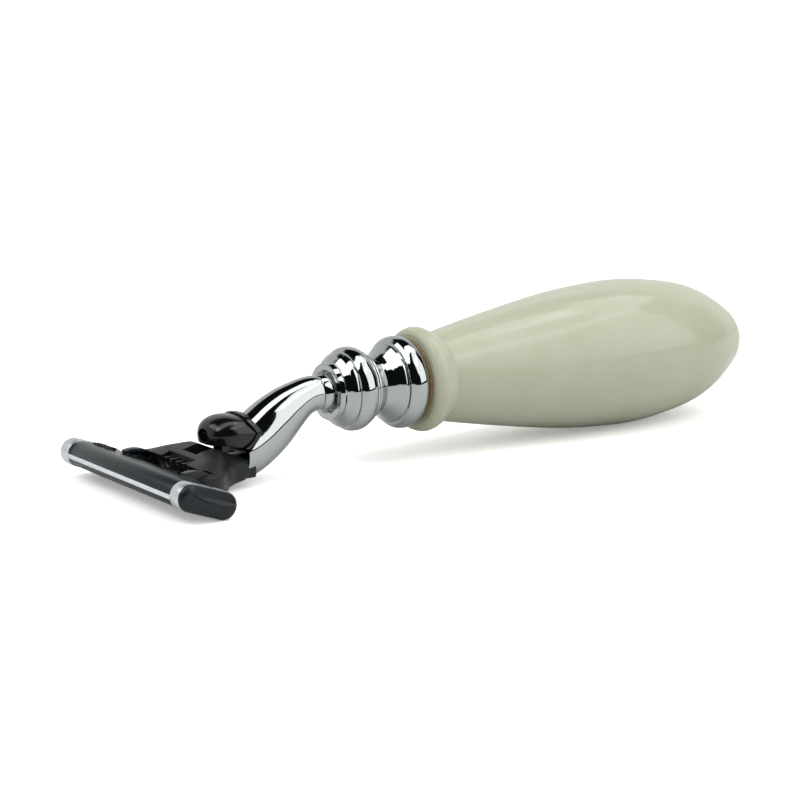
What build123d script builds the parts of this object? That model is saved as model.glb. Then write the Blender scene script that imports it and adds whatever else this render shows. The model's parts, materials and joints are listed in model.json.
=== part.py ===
from build123d import *
from math import atan2, cos, pi, radians, sin
import os

os.makedirs("parts", exist_ok=True)

# A cartridge razor lying on a table, blades down, in millimetres.
# +X runs from the blades to the butt of the handle, Y along the blades, +Z up.
# The origin is on the table under the middle of the razor.

# ---------------------------------------------------------------- driving sizes
# cartridge
cartridge_length = 42.8
cartridge_depth = 10.9
cartridge_thickness = 4.4
rest_pitch = 19.5  # degrees, the blades' plane against the table
tilt_range = 41.0  # degrees of swing before the back meets the yoke
pivot_depth = 4.0  # pivot line, from the cartridge's middle towards the guard
end_round = 1.1
window_margin = 3.6  # from the window to each end
window_front = 2.4
window_rear = 2.5
window_roof = 0.45  # below the cartridge's middle plane
blade_count = 3
blade_spacing = 1.6
blade_width = 1.3
blade_gauge = 0.12
blade_angle = 21.0
support_gauge = 0.25
clip_width = 2.7
clip_gauge = 0.3
clip_inset = 0.9  # plastic left beyond a clip
strip_height = 0.75
strip_depth = 1.45
guard_width = 2.2
rib_count = 5
rib_pitch = 0.95
rib_width = 0.7
rib_heights = (0.5, 0.3, 0.42)
fin_groove = 0.2
fin_height = 0.4

# shell bearing between cartridge and yoke
arm_inner = 8.2
arm_width = 1.1
key_reach = 0.8
cheek_width = 1.5
ring_wall = 1.7
key_height = 0.5
key_start = 36.0
key_end = 56.0

# yoke
yoke_half_width = 12.6
yoke_waist = 5.3
yoke_knee = 5.5
yoke_top = 7.45
yoke_tail = 14.0  # behind the pivot line

# neck and nose
nose_half_width = 4.4
nose_bottom = 1.5
nose_top = 5.0
nose_corner = 0.8
neck_start = 14.3  # behind the pivot line
neck_centre_z = 5.6
neck_arch = 0.55  # lift of the neck's middle above a smooth step
tenon_radius = 3.2
tenon_length = 4.0
neck_gap = 2.07  # tenon seen between the neck and the collar

# plunger
plunger_half_width = 2.0
plunger_tip_radius = 0.8
plunger_lever = 3.2  # height of its line above the pivot line
plunger_tip_x = 0.4  # behind the pivot line
plunger_length = 11.1
plunger_chamber = 18.0

# release button and ejector
button_half_width = 5.0
button_travel = 3.0
slide_half_width = 2.0
slide_gauge = 0.9
slide_front = 8.56
slide_length = 8.9
ejector_spring_radius = 0.95
ejector_spring_length = 4.4
plunger_spring_radius = 0.65
spring_wire = 0.28

# handle and collar
head_reach = 41.18  # front of the cartridge to the collar's face
axis_height = 13.68
collar_radius = 7.45
bead_radius = 8.27
collar_end_radius = 7.4
ring_radius = 5.0
waist_radius = 4.8
waist_s = 9.9
collar_length = 17.3
washer_radius = 7.45
washer_gauge = 0.5
lip_radius = 9.43
lip_length = 5.1
belly_radius = 13.63
handle_length = 77.2
stud_radius = 2.0
insert_radius = 4.0
insert_length = 22.0

# clearances
running = 0.05
slip = 0.1
swing_gap = 0.35
button_gap = 0.25

# ---------------------------------------------------------------- places
overall = head_reach + collar_length + washer_gauge + handle_length
front_x = -overall / 2
edge_radius = cartridge_thickness / 2
half_run = cartridge_depth / 2 - edge_radius
pitch = radians(rest_pitch)
clip_proud = clip_gauge / 2
cartridge_x = front_x + half_run * cos(pitch) + edge_radius + clip_proud
cartridge_z = half_run * sin(pitch) + edge_radius + clip_proud
depth_dir = Vector(cos(pitch), 0, -sin(pitch))
back_dir = Vector(sin(pitch), 0, cos(pitch))
pivot = Vector(cartridge_x, 0, cartridge_z) + depth_dir * pivot_depth - back_dir * edge_radius
collar_x = front_x + head_reach
neck_end_x = collar_x - neck_gap

# Sections are drawn in these planes: along the cartridge, about the pivot line
# and about the handle's axis. Each looks along +Y.
blade_plane = Plane(origin=(cartridge_x, 0, cartridge_z), x_dir=depth_dir, z_dir=(0, -1, 0))
pivot_plane = Plane(origin=pivot, x_dir=(1, 0, 0), z_dir=(0, -1, 0))
head_plane = Plane(origin=(pivot.X, 0, 0), x_dir=(1, 0, 0), z_dir=(0, -1, 0))
lathe_plane = Plane(origin=(collar_x, 0, axis_height), x_dir=(1, 0, 0), z_dir=(0, -1, 0))
lathe_axis = Axis((collar_x, 0, axis_height), (1, 0, 0))
sides = (-1, 1)

# The back of the cartridge at full tilt: the yoke and nose stay behind it.
tilted = radians(90 - rest_pitch - tilt_range)
tilt_normal = Vector(cos(tilted), 0, sin(tilted))
stop_plane = Plane(
    origin=pivot + tilt_normal * (cartridge_thickness + swing_gap), z_dir=tilt_normal
)

# Bearing radii about the pivot line, all just outside the cartridge's back.
shell_inner = cartridge_thickness
key_inner = shell_inner + 0.6
key_outer = key_inner + key_height
shell_outer = shell_inner + ring_wall
arm_outer = arm_inner + arm_width
cheek_inner = arm_outer + 2 * slip
cheek_outer = cheek_inner + cheek_width
plunger_z = pivot.Z + plunger_lever
slide_z = nose_top + slip
slot_top = slide_z + slide_gauge


def ring_sector(plane, inner, outer, start, end):
    """A slice of a flat ring about the plane's origin, angles in degrees."""
    with BuildSketch(plane) as sector:
        with BuildLine():
            rim = CenterArc((0, 0), outer, start, end - start)
            bore = CenterArc((0, 0), inner, start, end - start)
            Line(rim @ 0, bore @ 0)
            Line(rim @ 1, bore @ 1)
        make_face()
    return sector.sketch


def block(low, high, mode=Mode.ADD):
    """A box between two corners."""
    size = [b - a for a, b in zip(low, high)]
    with Locations(tuple((a + b) / 2 for a, b in zip(low, high))):
        Box(*size, mode=mode)


def save(piece, name):
    """Label a finished piece and write it to its own file."""
    piece.part.label = name
    export_step(piece.part, f"parts/{name}.step")


# ---------------------------------------------------------------- cartridge
window_half_length = cartridge_length / 2 - window_margin
clip_outer_y = cartridge_length / 2 - clip_inset
clip_inner_y = clip_outer_y - clip_width
clip_seat = clip_gauge - clip_proud
front_d = -cartridge_depth / 2
strip_top_n = -0.45
guard_front = window_rear + 0.2
guard_roof = -0.9


def involute_point(turn):
    """Wall that a plunger sliding along X follows as the cartridge turns (degrees)."""
    start = plunger_tip_x - running
    along = start + plunger_lever * radians(turn)
    c, s = cos(radians(turn)), sin(radians(turn))
    return (along * c - plunger_lever * s, along * s + plunger_lever * c)


with BuildPart() as blade_housing:
    with BuildSketch(blade_plane):
        SlotOverall(cartridge_depth, cartridge_thickness)
    extrude(amount=cartridge_length / 2, both=True)
    ends = blade_housing.faces().filter_by(Axis.Y).sort_by(Axis.Y)
    fillet(ends[0].edges() + ends[-1].edges(), end_round)
    # low ribs on the back, of uneven height, clear of the yoke
    for side in sides:
        for step in range(rib_count):
            start_y = yoke_half_width + slip + rib_pitch * step
            with BuildSketch(blade_plane.offset(side * start_y)):
                with Locations((-0.4 - 0.1 * step, edge_radius)):
                    Rectangle(1.7, 2 * rib_heights[step % len(rib_heights)])
            extrude(amount=side * rib_width)
        # cheek that carries the arcuate groove
        cheek_plane = pivot_plane.offset(side * cheek_inner)
        extrude(
            ring_sector(cheek_plane, shell_inner - 1, shell_outer, 28, 106),
            amount=side * cheek_width,
        )
    # blade window in the skin side
    with BuildSketch(blade_plane):
        with BuildLine():
            Polyline(
                (-window_front, -window_roof),
                (window_rear, -window_roof),
                (window_rear, -cartridge_thickness),
                (-window_front, -cartridge_thickness),
                close=True,
            )
        make_face()
    extrude(amount=window_half_length, both=True, mode=Mode.SUBTRACT)
    # seats for the guard strip and the lubricating strip
    with BuildSketch(blade_plane):
        with Locations((guard_front + guard_width / 2, guard_roof - edge_radius)):
            Rectangle(guard_width, 2 * edge_radius)
        with Locations((front_d + strip_depth / 2 - 0.5, strip_top_n - strip_height / 2)):
            Rectangle(strip_depth + 1, strip_height)
    extrude(amount=window_half_length, both=True, mode=Mode.SUBTRACT)
    for side in sides:
        # band where a clip wraps round
        with BuildSketch(blade_plane.offset(side * clip_inner_y)):
            SlotOverall(cartridge_depth + 2, cartridge_thickness + 2)
            SlotOverall(
                cartridge_depth - 2 * clip_seat,
                cartridge_thickness - 2 * clip_seat,
                mode=Mode.SUBTRACT,
            )
        extrude(amount=side * clip_width, mode=Mode.SUBTRACT)
        # room for the yoke's arm, then the groove for its key
        arm_room = ring_sector(
            pivot_plane.offset(side * (arm_inner - slip)),
            shell_inner,
            shell_outer + 1,
            20,
            key_end + tilt_range + 7,
        )
        extrude(arm_room, amount=side * (arm_width + 2 * slip), mode=Mode.SUBTRACT)
        key_groove = ring_sector(
            pivot_plane.offset(side * cheek_inner),
            key_inner - running,
            key_outer + running,
            key_start - 2,
            key_end + tilt_range + 2,
        )
        extrude(key_groove, amount=side * key_reach, mode=Mode.SUBTRACT)
    # plunger pocket: its front wall is an involute, so the plunger's slide is linear
    with BuildSketch(pivot_plane):
        with BuildLine():
            wall = Spline([involute_point(tilt_range * i / 4) for i in range(5)])
            floor_z = plunger_lever - plunger_tip_radius - 2 * slip
            Polyline(
                wall @ 1,
                (wall @ 1) + Vector(-sin(radians(tilt_range)), cos(radians(tilt_range))) * 1.8,
                (cartridge_depth, cartridge_thickness + 2),
                (cartridge_depth, floor_z),
                ((wall @ 0).X, floor_z),
                wall @ 0,
            )
        make_face()
    extrude(amount=plunger_half_width + 3 * slip, both=True, mode=Mode.SUBTRACT)
save(blade_housing, "blade_housing")

with BuildPart() as guard_strip:
    with BuildSketch(blade_plane):
        SlotOverall(cartridge_depth, cartridge_thickness)
        with Locations((guard_front + guard_width / 2, guard_roof - edge_radius)):
            Rectangle(guard_width, 2 * edge_radius, mode=Mode.INTERSECT)
    extrude(amount=window_half_length, both=True)
    # grooves between the soft fins
    for fin in range(4):
        fin_d = guard_front + guard_width * (fin + 0.7) / 4.4
        fin_n = -((edge_radius**2 - max(0, fin_d - half_run) ** 2) ** 0.5)
        with BuildSketch(blade_plane):
            with Locations((fin_d, fin_n)):
                Rectangle(fin_groove, 2 * fin_height)
        extrude(amount=window_half_length - 0.5, both=True, mode=Mode.SUBTRACT)
save(guard_strip, "guard_strip")

with BuildPart() as lubricating_strip:
    with BuildSketch(blade_plane):
        SlotOverall(cartridge_depth + 0.24, cartridge_thickness + 0.24)
        with Locations((front_d + strip_depth / 2 - 0.5, strip_top_n - strip_height / 2)):
            Rectangle(strip_depth + 1, strip_height, mode=Mode.INTERSECT)
    extrude(amount=window_half_length, both=True)
save(lubricating_strip, "lubricating_strip")

blade_n = -1.75
blade_half_length = window_half_length - slip
lean = radians(blade_angle)
for index in range(blade_count):
    blade_d = (index - (blade_count - 1) / 2) * blade_spacing
    with BuildPart() as blade:
        with BuildSketch(blade_plane):
            with Locations((blade_d, blade_n)):
                Rectangle(blade_width, blade_gauge, rotation=-blade_angle)
        extrude(amount=blade_half_length, both=True)
    save(blade, f"blade_{index + 1}")

    # bent steel support: a foot under the blade and a leg up to the housing
    rise = (blade_gauge + support_gauge) / 2
    foot = (
        blade_d + rise * sin(lean) - 0.2 * cos(lean),
        blade_n + rise * cos(lean) + 0.2 * sin(lean),
    )
    leg_d = blade_d - 0.3
    leg_foot = blade_n + 0.25
    with BuildPart() as support:
        with BuildSketch(blade_plane):
            with Locations(foot):
                Rectangle(0.85, support_gauge, rotation=-blade_angle)
            with Locations((leg_d, (leg_foot - window_roof) / 2)):
                Rectangle(support_gauge, -window_roof - leg_foot)
        extrude(amount=blade_half_length, both=True)
    save(support, f"blade_support_{index + 1}")

for side, name in ((1, "clip_left"), (-1, "clip_right")):
    with BuildPart() as clip:
        with BuildSketch(blade_plane.offset(side * clip_inner_y)):
            SlotOverall(
                cartridge_depth - 2 * clip_seat + 2 * clip_gauge,
                cartridge_thickness - 2 * clip_seat + 2 * clip_gauge,
            )
            SlotOverall(
                cartridge_depth - 2 * clip_seat,
                cartridge_thickness - 2 * clip_seat,
                mode=Mode.SUBTRACT,
            )
            # the strip's ends meet with a gap on the back
            with Locations((1.5, edge_radius)):
                Rectangle(0.8, 1.2, mode=Mode.SUBTRACT)
        extrude(amount=side * clip_width)
    save(clip, name)

# ---------------------------------------------------------------- yoke
with BuildPart() as yoke:
    with BuildSketch(head_plane):
        with BuildLine():
            Polyline(
                (0, yoke_knee - 0.9),
                (2.5, yoke_knee),
                (8.36, yoke_top),
                (10.76, yoke_top - 1.05),
                (yoke_tail, 3.2),
                (yoke_tail - 1.6, 1.4),
                (8.0, 0.4),
                (0, 0.4),
                close=True,
            )
        make_face()
    extrude(amount=yoke_half_width, both=True)
    # seen from above, the wings sweep back into the sleeve
    plan = [(0, yoke_half_width), (5.0, yoke_half_width), (8.4, 8.4), (10.2, yoke_waist + 0.3)]
    plan += [(yoke_tail + 1, yoke_waist)]
    plan += [(x, -y) for x, y in reversed(plan)]
    with BuildSketch(Plane((pivot.X, 0, -1))) as plan_sketch:
        with BuildLine():
            Polyline(*plan, close=True)
        make_face()
        swept = plan_sketch.vertices().filter_by(lambda v: 4 < v.X - pivot.X < 11)
        fillet(swept, 1.8)
    extrude(amount=12, mode=Mode.INTERSECT)
    split(bisect_by=stop_plane, keep=Keep.TOP)
    # sleeve for the neck's nose, open at both ends
    with BuildSketch(Plane.YZ.offset(pivot.X)):
        with Locations((0, (nose_bottom + nose_top) / 2)):
            RectangleRounded(
                2 * (nose_half_width + slip), nose_top - nose_bottom + 2 * slip, nose_corner
            )
    extrude(amount=yoke_tail + 2, mode=Mode.SUBTRACT)
    # notch in the top that the ejector's tongue pushes on
    block(
        (pivot.X + slide_front - button_travel - 2 * slip, -slide_half_width - 0.3, nose_top - 1),
        (pivot.X + yoke_tail + 2, slide_half_width + 0.3, yoke_top + 2),
        Mode.SUBTRACT,
    )
    for side in sides:
        # room for the cartridge's cheek as it swings
        cheek_room = ring_sector(
            pivot_plane.offset(side * (arm_outer + slip)), 0.5, shell_outer + 0.3, -60, 110
        )
        extrude(cheek_room, amount=side * (cheek_outer - arm_outer + slip), mode=Mode.SUBTRACT)
        # arm with the arcuate key on its outer face
        arm = ring_sector(
            pivot_plane.offset(side * arm_inner),
            shell_inner + 1.5 * slip,
            shell_outer + 0.6,
            28,
            60,
        )
        extrude(arm, amount=side * arm_width)
        key = ring_sector(
            pivot_plane.offset(side * arm_outer), key_inner, key_outer, key_start, key_end
        )
        extrude(key, amount=side * key_reach)
save(yoke, "yoke")

# ---------------------------------------------------------------- neck
# (share of the way back, half width, half height); the centre line is a smooth step
neck_stations = [
    (0.0, 4.9, 5.1),
    (0.25, 4.75, 4.95),
    (0.45, 4.4, 4.75),
    (0.63, 3.9, 4.15),
    (0.81, 3.4, 3.4),
    (1.0, 3.05, 3.05),
]
neck_front_x = pivot.X + neck_start
neck_run = neck_end_x - neck_front_x
neck_rise = axis_height - neck_centre_z
chamber_end = pivot.X + plunger_chamber
slide_tail = slide_front + slide_length

with BuildPart() as neck:
    for share, half_width, half_height in neck_stations:
        arch = neck_arch * sin(pi * share)
        centre_z = neck_centre_z + neck_rise * (3 * share**2 - 2 * share**3) + arch
        slope = atan2(neck_rise * 6 * share * (1 - share), neck_run)
        station = Plane(
            origin=(neck_front_x + neck_run * share, 0, centre_z),
            x_dir=(0, 1, 0),
            z_dir=(cos(slope), 0, sin(slope)),
        )
        with BuildSketch(station):
            Ellipse(half_width, half_height)
    loft()
    # tenon into the collar
    with BuildSketch(Plane.YZ.offset(neck_end_x)):
        with Locations((0, axis_height)):
            Circle(tenon_radius)
    extrude(amount=tenon_length)
    # nose that the yoke slides on to
    with BuildSketch(Plane.YZ.offset(pivot.X)):
        with Locations((0, (nose_bottom + nose_top) / 2)):
            RectangleRounded(2 * nose_half_width, nose_top - nose_bottom, nose_corner)
    extrude(amount=neck_start + 1.5)
    # saddle that the button sits in
    with BuildSketch(head_plane):
        with BuildLine():
            Polyline(
                (15.8, 13.5),
                (15.75, 11.5),
                (17.05, 9.5),
                (16.2, 8.0),
                (14.9, 6.7),
                (13.0, slide_z),
                (2.0, slide_z),
                (2.0, 13.5),
                close=True,
            )
        make_face()
    extrude(amount=button_half_width + 3, both=True, mode=Mode.SUBTRACT)
    split(bisect_by=stop_plane, keep=Keep.TOP)
    # plunger chamber, ejector slot and the bore for the ejector's spring
    block(
        (
            pivot.X,
            -plunger_half_width - slip,
            plunger_z - plunger_tip_radius - slip,
        ),
        (chamber_end, plunger_half_width + slip, plunger_z + plunger_tip_radius + slip),
        Mode.SUBTRACT,
    )
    block(
        (pivot.X, -slide_half_width - slip, nose_top - 1e-3),
        (pivot.X + slide_tail + slip, slide_half_width + slip, slot_top + slip),
        Mode.SUBTRACT,
    )
    with BuildSketch(Plane.YZ.offset(pivot.X + slide_tail)):
        with Locations((0, slide_z + slide_gauge / 2)):
            Circle(ejector_spring_radius + spring_wire / 2 + slip)
    extrude(amount=ejector_spring_length + slip, mode=Mode.SUBTRACT)
    # tapped hole for the stud
    with BuildSketch(Plane.YZ.offset(neck_end_x + tenon_length)):
        with Locations((0, axis_height)):
            Circle(stud_radius)
    extrude(amount=-(tenon_length + 1.4), mode=Mode.SUBTRACT)
save(neck, "neck")

# ---------------------------------------------------------------- plunger
with BuildPart() as plunger:
    with BuildSketch(Plane(origin=(pivot.X, 0, plunger_z), x_dir=(1, 0, 0), z_dir=(0, -1, 0))):
        tip_x = plunger_tip_x + plunger_tip_radius
        with Locations((tip_x, 0)):
            Circle(plunger_tip_radius)
        with Locations((tip_x + (plunger_length - plunger_tip_radius) / 2, 0)):
            Rectangle(plunger_length - plunger_tip_radius, 2 * plunger_tip_radius)
    extrude(amount=plunger_half_width, both=True)
save(plunger, "plunger")


def coil(start_x, centre_z, radius, length, turns):
    """A round-wire helical spring along X, its ends just clear of what it bears on."""
    path = Helix(
        pitch=(length - spring_wire) / turns,
        height=length - spring_wire,
        radius=radius,
        center=(start_x + spring_wire / 2, 0, centre_z),
        direction=(1, 0, 0),
    )
    with BuildPart() as spring:
        with BuildSketch(Plane(path @ 0, z_dir=path % 0)):
            Circle(spring_wire / 2)
        sweep(path=path, is_frenet=True)
    return spring


plunger_tail = plunger_tip_x + plunger_length
plunger_spring = coil(
    pivot.X + plunger_tail + slip,
    plunger_z,
    plunger_spring_radius,
    plunger_chamber - plunger_tail - 2 * slip,
    9,
)
save(plunger_spring, "plunger_spring")

# ---------------------------------------------------------------- release button
# (behind the pivot line, half width, bottom, top, corner radius)
button_stations = [
    (8.1, 1.2, 7.5, 9.3, 0.55),
    (8.8, 2.9, 6.8, 10.9, 1.6),
    (10.4, 4.3, 6.1, 11.95, 2.4),
    (12.4, 4.85, 5.7, 12.3, 2.8),
    (14.6, button_half_width, 5.6, 12.15, 2.4),
    (16.9, button_half_width, 5.6, 11.6, 1.6),
]
with BuildPart() as release_button:
    for x, half_width, low, high, corner in button_stations:
        with BuildSketch(Plane.YZ.offset(pivot.X + x)):
            with Locations((0, (low + high) / 2)):
                RectangleRounded(2 * half_width, high - low, corner)
    loft()
    # side outline: undercut over the yoke, curved tail that nests in the neck
    with BuildSketch(head_plane):
        with BuildLine():
            Polyline(
                (6.0, yoke_top + button_gap),
                (11.36, yoke_top + button_gap),
                (13.7, yoke_top - 0.75),
                (14.6, yoke_top - 0.6),
                (15.9, 8.2),
                (16.75, 9.45),
                (15.45, 11.45),
                (15.3, 13),
                (6.0, 13),
                close=True,
            )
        make_face()
    extrude(amount=button_half_width + 1, both=True, mode=Mode.INTERSECT)
    # shallow oval thumb recess in the front
    with BuildSketch(Plane.YZ.offset(pivot.X + 7)):
        with Locations((0, 8.9)):
            Ellipse(1.9, 1.1)
    extrude(amount=2.4, mode=Mode.SUBTRACT)
    # stem down to the ejector
    block((pivot.X + 10.9, -1.5, slot_top), (pivot.X + 13.5, 1.5, 8.5))
save(release_button, "release_button")

with BuildPart() as ejector_slide:
    block(
        (pivot.X + slide_front, -slide_half_width, slide_z),
        (pivot.X + slide_tail, slide_half_width, slot_top),
    )
save(ejector_slide, "ejector_slide")

ejector_spring = coil(
    pivot.X + slide_tail + slip / 2,
    slide_z + slide_gauge / 2,
    ejector_spring_radius,
    ejector_spring_length,
    6,
)
save(ejector_spring, "ejector_spring")

# ---------------------------------------------------------------- collars
groove = 0.15
shoulder_s = 1.0
groove_one_s = 2.9
ring_steps = (6.6, 8.3)
groove_two_s = 12.9
tenon_seat = tenon_length - neck_gap

with BuildPart() as front_collar:
    with BuildSketch(lathe_plane):
        with BuildLine():
            Line((0, tenon_radius + 0.7), (0, ring_radius))
            Line((0, ring_radius), (shoulder_s, ring_radius + 0.1))
            ThreePointArc((shoulder_s, ring_radius + 0.1), (1.7, 6.0), (groove_one_s, 6.85))
            Line((groove_one_s, 6.85), (groove_one_s + 0.2, 6.85 - groove))
            Line((groove_one_s + 0.2, 6.85 - groove), (groove_one_s + 0.4, 7.1))
            ThreePointArc((groove_one_s + 0.4, 7.1), (4.7, collar_radius), (ring_steps[0], 7.05))
            Line((ring_steps[0], 7.05), (ring_steps[0] + 0.1, 6.9))
            Line((ring_steps[0] + 0.1, 6.9), (ring_steps[1], 5.95))
            Line((ring_steps[1], 5.95), (ring_steps[1] + 0.1, 5.75))
            ThreePointArc((ring_steps[1] + 0.1, 5.75), (9.2, 5.15), (waist_s, waist_radius))
            Line((waist_s, waist_radius), (waist_s, stud_radius + running))
            Polyline(
                (waist_s, stud_radius + running),
                (tenon_seat + slip, stud_radius + running),
                (tenon_seat + slip, tenon_radius + running),
                (0.8, tenon_radius + running),
                (0, tenon_radius + 0.7),
            )
        make_face()
    revolve(axis=lathe_axis)
save(front_collar, "front_collar")

with BuildPart() as rear_collar:
    with BuildSketch(lathe_plane):
        with BuildLine():
            Line((waist_s, stud_radius + running), (waist_s, waist_radius))
            ThreePointArc((waist_s, waist_radius), (11.3, 5.7), (groove_two_s, 7.3))
            Line((groove_two_s, 7.3), (groove_two_s + 0.2, 7.3 - groove))
            Line((groove_two_s + 0.2, 7.3 - groove), (groove_two_s + 0.4, 7.65))
            ThreePointArc(
                (groove_two_s + 0.4, 7.65), (15.1, bead_radius), (collar_length, collar_end_radius)
            )
            Line((collar_length, collar_end_radius), (collar_length, stud_radius + running))
            Line((collar_length, stud_radius + running), (waist_s, stud_radius + running))
        make_face()
    revolve(axis=lathe_axis)
save(rear_collar, "rear_collar")

with BuildPart() as seal_washer:
    with BuildSketch(Plane.YZ.offset(collar_x + collar_length)):
        with Locations((0, axis_height)):
            Circle(washer_radius)
            Circle(stud_radius + slip, mode=Mode.SUBTRACT)
    extrude(amount=washer_gauge)
save(seal_washer, "seal_washer")

# ---------------------------------------------------------------- handle
handle_s = collar_length + washer_gauge
body_s = handle_s + lip_length
body_length = handle_length - lip_length
valley_radius = 7.95
# (share of the body's length, share of the belly's radius)
handle_curve = [
    (0.099, 0.689),
    (0.265, 0.8445),
    (0.398, 0.946),
    (0.521, 0.993),
    (0.58, 1.0),
    (0.657, 0.975),
    (0.769, 0.882),
    (0.847, 0.745),
    (0.9235, 0.515),
    (0.963, 0.345),
]
with BuildPart() as handle:
    with BuildSketch(lathe_plane):
        with BuildLine():
            butt = (handle_s + handle_length, 0)
            curve = [(body_s, valley_radius)]
            curve += [(body_s + a * body_length, b * belly_radius) for a, b in handle_curve]
            Line((handle_s, 0), (handle_s, lip_radius - 0.85))
            ThreePointArc(
                (handle_s, lip_radius - 0.85), (handle_s + 2.1, lip_radius), (body_s, valley_radius)
            )
            Spline(*curve, butt)
            Line(butt, (handle_s, 0))
        make_face()
    revolve(axis=lathe_axis)
    with BuildSketch(Plane.YZ.offset(collar_x + handle_s)):
        with Locations((0, axis_height)):
            Circle(insert_radius)
    extrude(amount=insert_length, mode=Mode.SUBTRACT)
save(handle, "handle")

with BuildPart() as handle_insert:
    with BuildSketch(Plane.YZ.offset(collar_x + handle_s)):
        with Locations((0, axis_height)):
            Circle(insert_radius)
            Circle(stud_radius, mode=Mode.SUBTRACT)
    extrude(amount=insert_length)
save(handle_insert, "handle_insert")

stud_front = neck_end_x - 1.2
with BuildPart() as tie_stud:
    with BuildSketch(Plane.YZ.offset(stud_front)):
        with Locations((0, axis_height)):
            Circle(stud_radius)
    extrude(amount=collar_x + handle_s + insert_length - 1.5 - stud_front)
    chamfer(tie_stud.edges().filter_by(GeomType.CIRCLE), 0.4)
save(tie_stud, "tie_stud")
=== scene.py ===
import json
import math

import bmesh
import bpy
from bpy.props import FloatProperty, IntProperty, PointerProperty, StringProperty
from bpy.types import Operator, Panel, PropertyGroup
from mathutils import Matrix, Vector


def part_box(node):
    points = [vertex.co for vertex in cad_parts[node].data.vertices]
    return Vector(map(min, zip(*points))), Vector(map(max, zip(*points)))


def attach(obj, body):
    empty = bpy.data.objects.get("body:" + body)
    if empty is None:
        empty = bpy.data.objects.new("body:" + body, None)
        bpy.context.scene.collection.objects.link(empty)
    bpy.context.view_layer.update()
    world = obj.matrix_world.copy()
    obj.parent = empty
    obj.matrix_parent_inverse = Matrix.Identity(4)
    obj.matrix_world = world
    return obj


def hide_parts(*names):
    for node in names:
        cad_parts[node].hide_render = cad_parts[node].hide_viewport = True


bl_info = {
    "name": "Cartridge Razor",
    "version": (1, 0, 0),
    "blender": (4, 5, 0),
    "location": "View3D > Sidebar > Razor",
    "description": "Builds the visible pieces of a cartridge razor around its design frame",
    "category": "Add Mesh",
}

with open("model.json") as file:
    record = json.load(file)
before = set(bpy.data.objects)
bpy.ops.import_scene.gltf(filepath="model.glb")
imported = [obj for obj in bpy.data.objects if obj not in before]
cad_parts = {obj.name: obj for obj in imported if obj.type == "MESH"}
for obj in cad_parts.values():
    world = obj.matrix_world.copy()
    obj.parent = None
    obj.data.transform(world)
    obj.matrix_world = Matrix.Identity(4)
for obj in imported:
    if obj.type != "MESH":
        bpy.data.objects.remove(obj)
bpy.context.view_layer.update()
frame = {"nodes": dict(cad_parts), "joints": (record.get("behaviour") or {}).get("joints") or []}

MM = 0.001  # every size below is in millimetres times MM
SIDES = (-1, 1)

# Places taken from the design frame
collar_low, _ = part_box("front_collar")
washer_low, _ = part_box("seal_washer")
handle_low, handle_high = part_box("handle")
JOINTS = {joint["name"]: joint for joint in frame["joints"]}
PIVOT = Vector(JOINTS["head_pivot"]["pos_m"])
AXIS_Z = (handle_low[2] + handle_high[2]) / 2
COLLAR_X = collar_low[0]
WASHER_X = washer_low[0]
HANDLE_X = handle_low[0]

# The cartridge: its plane's lean at rest and its full swing, in degrees
REST_TILT = 19.5
SWING = 41.0
REST_PITCH = math.radians(REST_TILT)
STOP_LEAN = math.radians(90 - REST_TILT - SWING)
PIVOT_DEPTH = 4.0 * MM  # pivot line, from the cartridge's middle towards the guard
HALF_THICKNESS = 2.2 * MM
DEPTH_DIR = Vector((math.cos(REST_PITCH), 0, -math.sin(REST_PITCH)))
BACK_DIR = Vector((math.sin(REST_PITCH), 0, math.cos(REST_PITCH)))
CARTRIDGE = PIVOT - DEPTH_DIR * PIVOT_DEPTH + BACK_DIR * HALF_THICKNESS


# ---------------------------------------------------------------- settings
class HandleSettings(PropertyGroup):
    """Shape and colour of the resin handle."""

    lip_radius: FloatProperty(
        name="Lip radius", description="Radius of the front lip", default=9.43 * MM, unit="LENGTH"
    )
    valley_radius: FloatProperty(
        name="Valley radius",
        description="Radius where the lip meets the body",
        default=7.95 * MM,
        unit="LENGTH",
    )
    lip_length: FloatProperty(
        name="Lip length", description="Length of the lip", default=5.1 * MM, unit="LENGTH"
    )
    resin: StringProperty(
        name="Resin", description="Colour of the resin, sRGB hex", default="9FA18E"
    )
    segments: IntProperty(name="Segments", description="Facets round the handle", default=256)


class ChromeSettings(PropertyGroup):
    """Shape and colour of the plated collars and neck."""

    edge: FloatProperty(
        name="Edge", description="Radius on the turned edges", default=0.09 * MM, unit="LENGTH"
    )
    plate: StringProperty(
        name="Plate", description="Colour of the chrome plate, sRGB hex", default="ACB0B0"
    )
    segments: IntProperty(name="Segments", description="Facets round the collars", default=320)


class HeadSettings(PropertyGroup):
    """Colours and edges of the blade head."""

    edge: FloatProperty(
        name="Edge", description="Radius on moulded edges", default=0.12 * MM, unit="LENGTH"
    )
    housing: StringProperty(
        name="Housing", description="Colour of the cartridge, sRGB hex", default="11161A"
    )
    yoke: StringProperty(
        name="Yoke", description="Colour of the yoke, sRGB hex", default="111316"
    )
    button: StringProperty(
        name="Button", description="Colour of the button, sRGB hex", default="08090A"
    )


class StageSettings(PropertyGroup):
    """Camera and studio."""

    azimuth: FloatProperty(name="Azimuth", description="Camera bearing", default=-34.43)
    elevation: FloatProperty(
        name="Elevation", description="Camera height above the horizon", default=11.95
    )
    roll: FloatProperty(name="Roll", description="Camera roll", default=-0.224)
    distance: FloatProperty(
        name="Distance", description="Camera to aim point", default=431.5 * MM, unit="LENGTH"
    )
    lens: FloatProperty(
        name="Lens", description="Focal length on a 36 mm sensor, in millimetres", default=109.11
    )


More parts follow.
